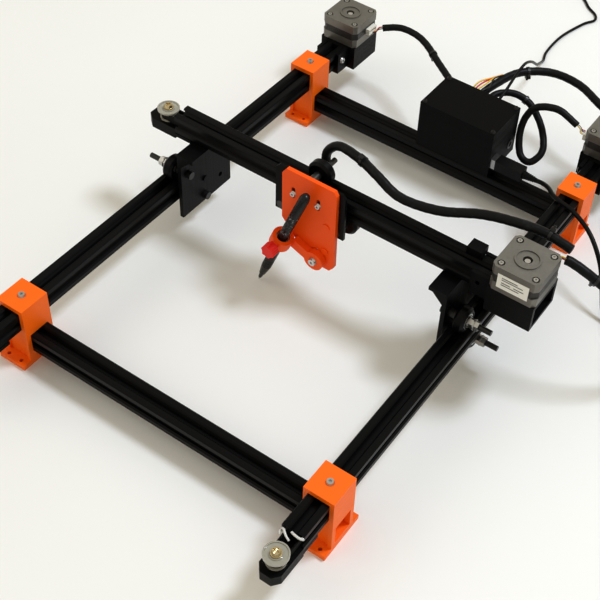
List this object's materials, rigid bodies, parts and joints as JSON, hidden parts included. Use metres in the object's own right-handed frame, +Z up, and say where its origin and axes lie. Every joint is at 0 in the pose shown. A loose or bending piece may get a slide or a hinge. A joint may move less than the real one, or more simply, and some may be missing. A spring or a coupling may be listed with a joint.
{
  "type": "desktop pen plotter",
  "caption": "Desktop pen plotter: a slotted rail frame in printed corner brackets, a belt-driven gantry on V-wheels and a tilting pen carriage with a red clamp knob.",
  "frame": {"origin": "centre of the frame on the table top", "axes": "+X right, +Y to the rear where the side motors are, +Z up"},
  "size_m": [0.5063, 0.922, 0.1508],
  "materials": {
    "rail_black": "satin",
    "printed_orange": "satin",
    "screw_steel": "satin",
    "dark_steel": "satin",
    "printed_black": "matte",
    "brass": "satin",
    "clear_white": "gloss",
    "belt_rubber": "matte",
    "motor_alloy": "satin",
    "socket_white": "satin",
    "shaft_steel": "satin",
    "board_green": "satin",
    "connector_metal": "satin",
    "wheel_black": "satin",
    "servo_dark": "satin",
    "pen_black": "gloss",
    "knob_red": "satin",
    "cord_black": "satin"
  },
  "bodies": {
    "frame": {"side_rails": "rail_black", "cross_rails": "rail_black", "corner_brackets": "printed_orange", "frame_fasteners": "screw_steel", "idler_mounts": "printed_black", "idler_axles": "brass", "side_belts": "belt_rubber", "motor_mounts": "printed_black", "side_motors": "motor_alloy", "side_motor_sockets": "socket_white", "box_base": "printed_black", "box_lid": "printed_black", "control_boards": "board_green", "box_sockets": "connector_metal", "motor_cable_left": "cord_black", "motor_cable_right": "cord_black", "gantry_cable": "cord_black", "usb_plug": "cord_black", "usb_lead": "cord_black", "usb_coil": "cord_black", "usb_end_plug": "connector_metal", "power_lead": "cord_black", "power_coil": "cord_black", "power_end_plug": "cord_black"},
    "gantry": {"beam": "rail_black", "gantry_plates": "printed_black", "gantry_wheel_bolts": "dark_steel", "gantry_screws": "screw_steel", "belt_clamps": "printed_black", "beam_block": "printed_black", "beam_idler_mount": "printed_black", "beam_idler_axle": "brass", "beam_belt": "belt_rubber", "beam_motor_mount": "printed_black", "beam_motor": "motor_alloy", "beam_motor_socket": "socket_white", "carriage_cable": "cord_black"},
    "carriage": {"carriage_plate": "printed_black", "carriage_bolts": "dark_steel", "carriage_belt_clamp": "printed_black", "pen_plate": "printed_orange", "pen_screws": "screw_steel", "servo_body": "servo_dark"},
    "pen_arm": {"pen_arm": "printed_orange", "pen_barrel": "pen_black", "pen_nib": "pen_black"},
    "servo_horn": {"servo_horn": "socket_white"},
    "clamp_knob": {"clamp_knob": "knob_red"},
    "idler_left": {"idler_left": "clear_white"},
    "idler_right": {"idler_right": "clear_white"},
    "motor_left_shaft": {"motor_left_shaft": "shaft_steel"},
    "motor_right_shaft": {"motor_right_shaft": "shaft_steel"},
    "wheels_front": {"wheels_front": "wheel_black"},
    "wheels_rear": {"wheels_rear": "wheel_black"},
    "wheels_low": {"wheels_low": "wheel_black"},
    "beam_idler": {"beam_idler": "clear_white"},
    "beam_motor_shaft": {"beam_motor_shaft": "shaft_steel"},
    "carriage_wheel_top": {"carriage_wheel_top": "wheel_black"},
    "carriage_wheel_left": {"carriage_wheel_left": "wheel_black"},
    "carriage_wheel_right": {"carriage_wheel_right": "wheel_black"}
  },
  "joints": [
    {"name": "gantry_slide", "type": "slide", "parent": "frame", "child": "gantry", "axis": [0, 1, 0], "range_m": [-0.16, 0.105], "deforming": ["gantry_cable"]},
    {"name": "carriage_slide", "type": "slide", "parent": "gantry", "child": "carriage", "axis": [1, 0, 0], "range_m": [-0.058, 0.085], "deforming": ["carriage_cable"]},
    {"name": "pen_lift", "type": "hinge", "parent": "carriage", "child": "pen_arm", "pos_m": [0.0076, -0.0157, 0.0546], "axis": [0, 1, 0], "range_deg": [0, 20]},
    {"name": "servo_turn", "type": "hinge", "parent": "carriage", "child": "servo_horn", "pos_m": [0.001, -0.005, 0.074], "axis": [0, 1, 0], "range_deg": [-14, 1]},
    {"name": "knob_turn", "type": "hinge", "parent": "pen_arm", "child": "clamp_knob", "pos_m": [-0.02332, -0.0234, 0.06696], "axis": [0, -1, 0], "continuous": true},
    {"name": "wheels_front_turn", "type": "hinge", "parent": "gantry", "child": "wheels_front", "pos_m": [0.155, -0.011, 0.07146], "axis": [1, 0, 0], "continuous": true},
    {"name": "wheels_rear_turn", "type": "hinge", "parent": "gantry", "child": "wheels_rear", "pos_m": [0.155, 0.033, 0.07146], "axis": [1, 0, 0], "continuous": true},
    {"name": "wheels_low_turn", "type": "hinge", "parent": "gantry", "child": "wheels_low", "pos_m": [0.155, 0.011, 0.03054], "axis": [1, 0, 0], "continuous": true},
    {"name": "idler_left_turn", "type": "hinge", "parent": "frame", "child": "idler_left", "pos_m": [-0.155, -0.27, 0.051], "axis": [0, 0, 1], "continuous": true},
    {"name": "idler_right_turn", "type": "hinge", "parent": "frame", "child": "idler_right", "pos_m": [0.155, -0.27, 0.051], "axis": [0, 0, 1], "continuous": true},
    {"name": "motor_left_turn", "type": "hinge", "parent": "frame", "child": "motor_left_shaft", "pos_m": [-0.155, 0.276, 0.051], "axis": [0, 0, 1], "continuous": true},
    {"name": "motor_right_turn", "type": "hinge", "parent": "frame", "child": "motor_right_shaft", "pos_m": [0.155, 0.276, 0.051], "axis": [0, 0, 1], "continuous": true},
    {"name": "beam_idler_turn", "type": "hinge", "parent": "gantry", "child": "beam_idler", "pos_m": [-0.177, 0.011, 0.11], "axis": [0, 0, 1], "continuous": true},
    {"name": "beam_motor_turn", "type": "hinge", "parent": "gantry", "child": "beam_motor_shaft", "pos_m": [0.191, 0.011, 0.11], "axis": [0, 0, 1], "continuous": true},
    {"name": "carriage_wheel_top_turn", "type": "hinge", "parent": "carriage", "child": "carriage_wheel_top", "pos_m": [-0.007, 0.011, 0.13046], "axis": [0, 1, 0], "continuous": true},
    {"name": "carriage_wheel_left_turn", "type": "hinge", "parent": "carriage", "child": "carriage_wheel_left", "pos_m": [-0.036, 0.011, 0.08954], "axis": [0, 1, 0], "continuous": true},
    {"name": "carriage_wheel_right_turn", "type": "hinge", "parent": "carriage", "child": "carriage_wheel_right", "pos_m": [0.022, 0.011, 0.08954], "axis": [0, 1, 0], "continuous": true}
  ],
  "couplings": [
    {"joint": "servo_turn", "follows": "pen_lift", "ratio": -0.628},
    {"joint": "wheels_front_turn", "follows": "gantry_slide", "rad_per_m": -95.6},
    {"joint": "wheels_rear_turn", "follows": "gantry_slide", "rad_per_m": -95.6},
    {"joint": "wheels_low_turn", "follows": "gantry_slide", "rad_per_m": 95.6},
    {"joint": "idler_left_turn", "follows": "gantry_slide", "rad_per_m": 157.5},
    {"joint": "idler_right_turn", "follows": "gantry_slide", "rad_per_m": -157.5},
    {"joint": "motor_left_turn", "follows": "gantry_slide", "rad_per_m": 157.5},
    {"joint": "motor_right_turn", "follows": "gantry_slide", "rad_per_m": -157.5},
    {"joint": "beam_idler_turn", "follows": "carriage_slide", "rad_per_m": 157.5},
    {"joint": "beam_motor_turn", "follows": "carriage_slide", "rad_per_m": 157.5},
    {"joint": "carriage_wheel_top_turn", "follows": "carriage_slide", "rad_per_m": 95.6},
    {"joint": "carriage_wheel_left_turn", "follows": "carriage_slide", "rad_per_m": -95.6},
    {"joint": "carriage_wheel_right_turn", "follows": "carriage_slide", "rad_per_m": -95.6}
  ]
}
